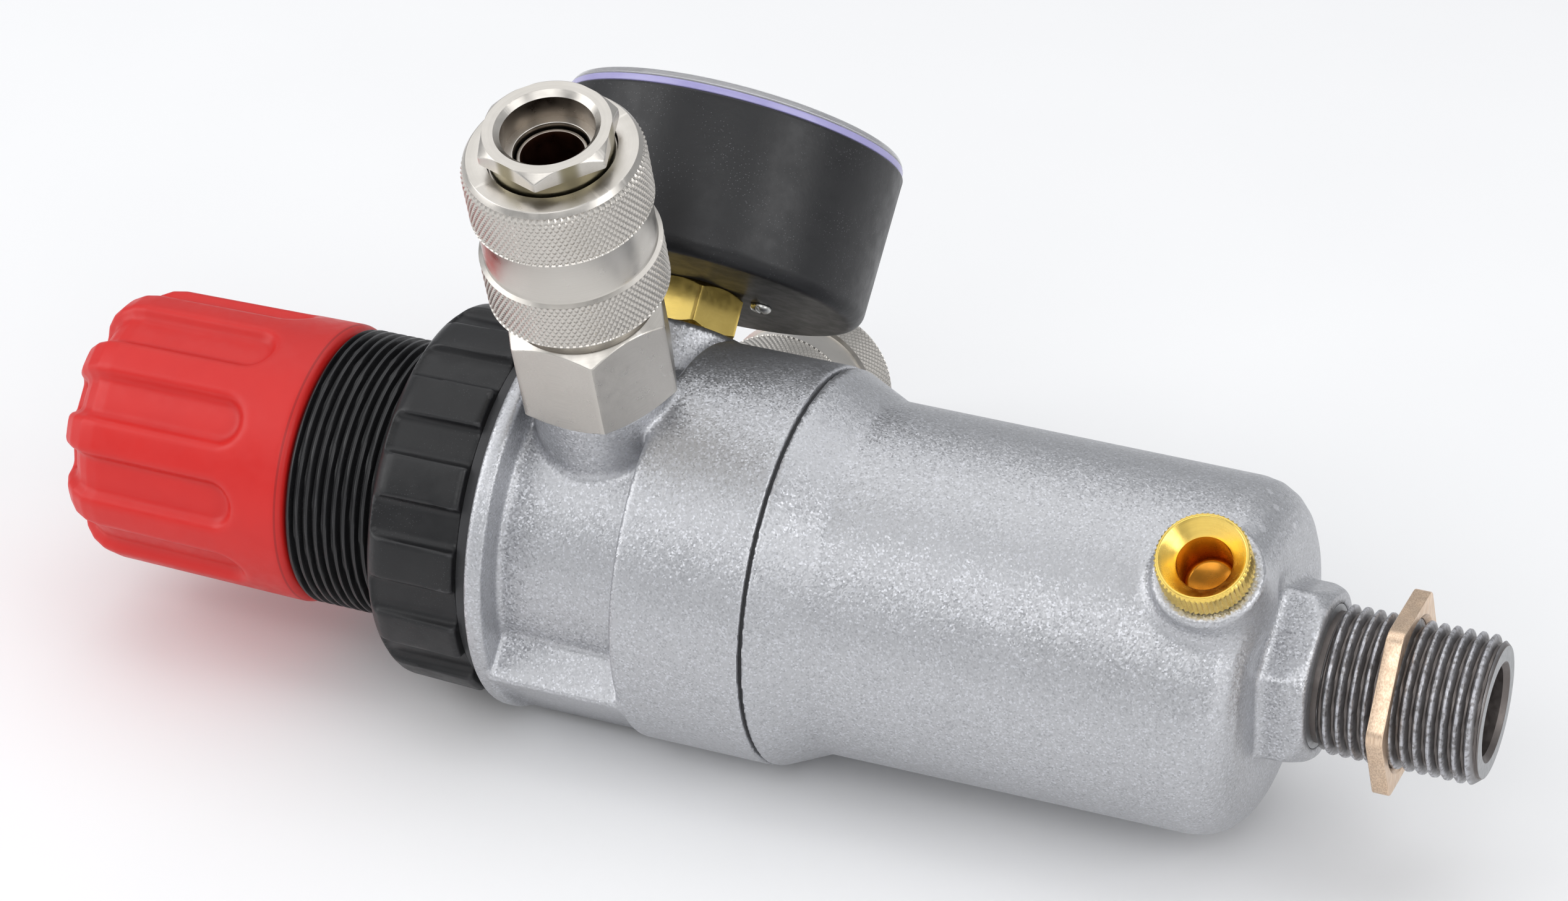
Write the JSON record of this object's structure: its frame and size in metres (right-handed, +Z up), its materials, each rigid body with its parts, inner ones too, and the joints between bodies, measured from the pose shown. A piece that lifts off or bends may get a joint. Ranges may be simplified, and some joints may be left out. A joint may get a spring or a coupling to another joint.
{
  "type": "air pressure regulator",
  "caption": "Compressed-air regulator lying on its side: red adjusting knob, panel ring nut, cast body and filter bowl, black pressure gauge, two quick couplers, drain and threaded inlet.",
  "frame": {"origin": "on the main axis at the mouth of the threaded inlet nipple", "axes": "+X along the main axis, out of the inlet nipple; +Z up as the regulator lies at rest on its round body and rear coupler; the couplers and the gauge point to +Z and +Y"},
  "size_m": [0.213, 0.1155, 0.1082],
  "materials": {
    "red_plastic": "satin moulded red plastic, slightly soft highlights",
    "black_plastic": "satin glass-filled black plastic",
    "black_washer": "dark satin plastic slip ring",
    "steel": "turned steel",
    "spring_steel": "oiled spring wire",
    "plated_steel": "zinc-plated pressed steel",
    "cast_metal": "shot-blasted light grey die casting, fine sparkle, worn edges",
    "black_rubber": "nitrile rubber",
    "inner_brass": "turned brass",
    "white_plastic": "moulded acetal",
    "sintered_filter": "porous sintered plastic",
    "dark_steel": "dark phosphated steel, cut thread",
    "bronze_nut": "raw bronze-coloured nut, brushed and scratched",
    "bright_brass": "bright turned and knurled brass",
    "gauge_brass": "machined brass",
    "black_case": "satin black enamel, fine speckle",
    "clear_window": "clear snap-in window with a faint violet edge",
    "dial_white": "white enamelled dial with black marks",
    "pointer_black": "black enamelled pointer",
    "tube_bronze": "drawn bronze tube",
    "nickel": "nickel-plated turned brass, warm grey, knurled bands",
    "ball_steel": "hardened steel balls"
  },
  "bodies": {
    "regulator": {"regulator_body": "cast_metal", "bonnet": "black_plastic", "diaphragm": "black_rubber", "valve_seat": "inner_brass", "filter_holder": "white_plastic", "filter_element": "sintered_filter", "filter_deflector": "white_plastic", "bowl": "cast_metal", "bowl_seal": "black_rubber", "inlet_nipple": "dark_steel", "gauge_stem": "gauge_brass", "gauge_case": "black_case", "gauge_case_screws": "plated_steel", "gauge_window": "clear_window", "gauge_dial": "dial_white", "gauge_movement": "inner_brass", "bourdon_tube": "tube_bronze", "regulating_spring": "spring_steel", "valve_spring": "spring_steel", "front_coupler_base": "nickel", "front_coupler_nose": "nickel", "front_coupler_seal": "black_rubber", "front_locking_balls": "ball_steel", "front_sleeve_spring": "spring_steel", "front_poppet_spring": "spring_steel", "rear_coupler_base": "nickel", "rear_coupler_nose": "nickel", "rear_coupler_seal": "black_rubber", "rear_locking_balls": "ball_steel", "rear_sleeve_spring": "spring_steel", "rear_poppet_spring": "spring_steel"},
    "knob": {"adjusting_knob": "red_plastic", "adjusting_screw": "steel"},
    "spring_nut": {"spring_nut": "steel"},
    "valve": {"diaphragm_plate": "plated_steel", "main_valve": "inner_brass"},
    "panel_washer": {"ring_nut_washer": "black_washer"},
    "ring_nut": {"ring_nut": "black_plastic"},
    "locknut": {"locknut": "bronze_nut"},
    "drain_seal": {"drain_seal": "black_rubber"},
    "drain_valve": {"drain_valve": "bright_brass"},
    "gauge_pointer": {"gauge_pointer": "pointer_black"},
    "front_sleeve": {"front_coupler_sleeve": "nickel"},
    "rear_sleeve": {"rear_coupler_sleeve": "nickel"},
    "front_poppet": {"front_valve_poppet": "inner_brass"},
    "rear_poppet": {"rear_valve_poppet": "inner_brass"}
  },
  "joints": [
    {"name": "knob_turn", "type": "hinge", "parent": "regulator", "child": "knob", "pos_m": [-0.2, 0, 0], "axis": [1, 0, 0], "range_deg": [-722, 2162]},
    {"name": "spring_nut_slide", "type": "slide", "parent": "regulator", "child": "spring_nut", "axis": [1, 0, 0], "range_m": [-0.003, 0.009], "deforming": ["regulating_spring"]},
    {"name": "valve_lift", "type": "slide", "parent": "regulator", "child": "valve", "axis": [1, 0, 0], "range_m": [0, 0.0015], "stiffness_N_per_m": 900, "springref_m": -0.002, "deforming": ["diaphragm", "valve_spring"]},
    {"name": "panel_washer_slide", "type": "slide", "parent": "regulator", "child": "panel_washer", "axis": [1, 0, 0], "range_m": [-0.012, 0]},
    {"name": "ring_nut_turn", "type": "hinge", "parent": "panel_washer", "child": "ring_nut", "pos_m": [-0.151, 0, 0], "axis": [1, 0, 0], "range_deg": [-2162, 0]},
    {"name": "locknut_slide", "type": "slide", "parent": "regulator", "child": "locknut", "axis": [1, 0, 0], "range_m": [-0.009, 0.0105]},
    {"name": "drain_seal_slide", "type": "slide", "parent": "regulator", "child": "drain_seal", "axis": [0, -0.5736, 0.8192], "range_m": [0, 0.002]},
    {"name": "drain_valve_turn", "type": "hinge", "parent": "drain_seal", "child": "drain_valve", "pos_m": [-0.037, -0.01778, 0.02539], "axis": [0, -0.5736, 0.8192], "range_deg": [0, 722]},
    {"name": "pointer_turn", "type": "hinge", "parent": "regulator", "child": "gauge_pointer", "pos_m": [-0.1286, 0.03747, 0.04162], "axis": [0, -0.6691, -0.7431], "range_deg": [0, 270]},
    {"name": "front_sleeve_slide", "type": "slide", "parent": "regulator", "child": "front_sleeve", "axis": [0, -0.309, 0.9511], "range_m": [0, 0.0018], "deforming": ["front_sleeve_spring"]},
    {"name": "rear_sleeve_slide", "type": "slide", "parent": "regulator", "child": "rear_sleeve", "axis": [0, 0.9781, -0.2079], "range_m": [0, 0.0018], "deforming": ["rear_sleeve_spring"]},
    {"name": "front_poppet_slide", "type": "slide", "parent": "regulator", "child": "front_poppet", "axis": [0, 0.309, -0.9511], "range_m": [0, 0.005], "stiffness_N_per_m": 300, "springref_m": -0.005, "deforming": ["front_poppet_spring"]},
    {"name": "rear_poppet_slide", "type": "slide", "parent": "regulator", "child": "rear_poppet", "axis": [0, -0.9781, 0.2079], "range_m": [0, 0.005], "stiffness_N_per_m": 300, "springref_m": -0.005, "deforming": ["rear_poppet_spring"]}
  ],
  "couplings": [
    {"joint": "knob_turn", "follows": "spring_nut_slide", "rad_per_m": 4188.8},
    {"joint": "ring_nut_turn", "follows": "panel_washer_slide", "rad_per_m": 3141.6},
    {"joint": "drain_valve_turn", "follows": "drain_seal_slide", "rad_per_m": 6283.2}
  ]
}
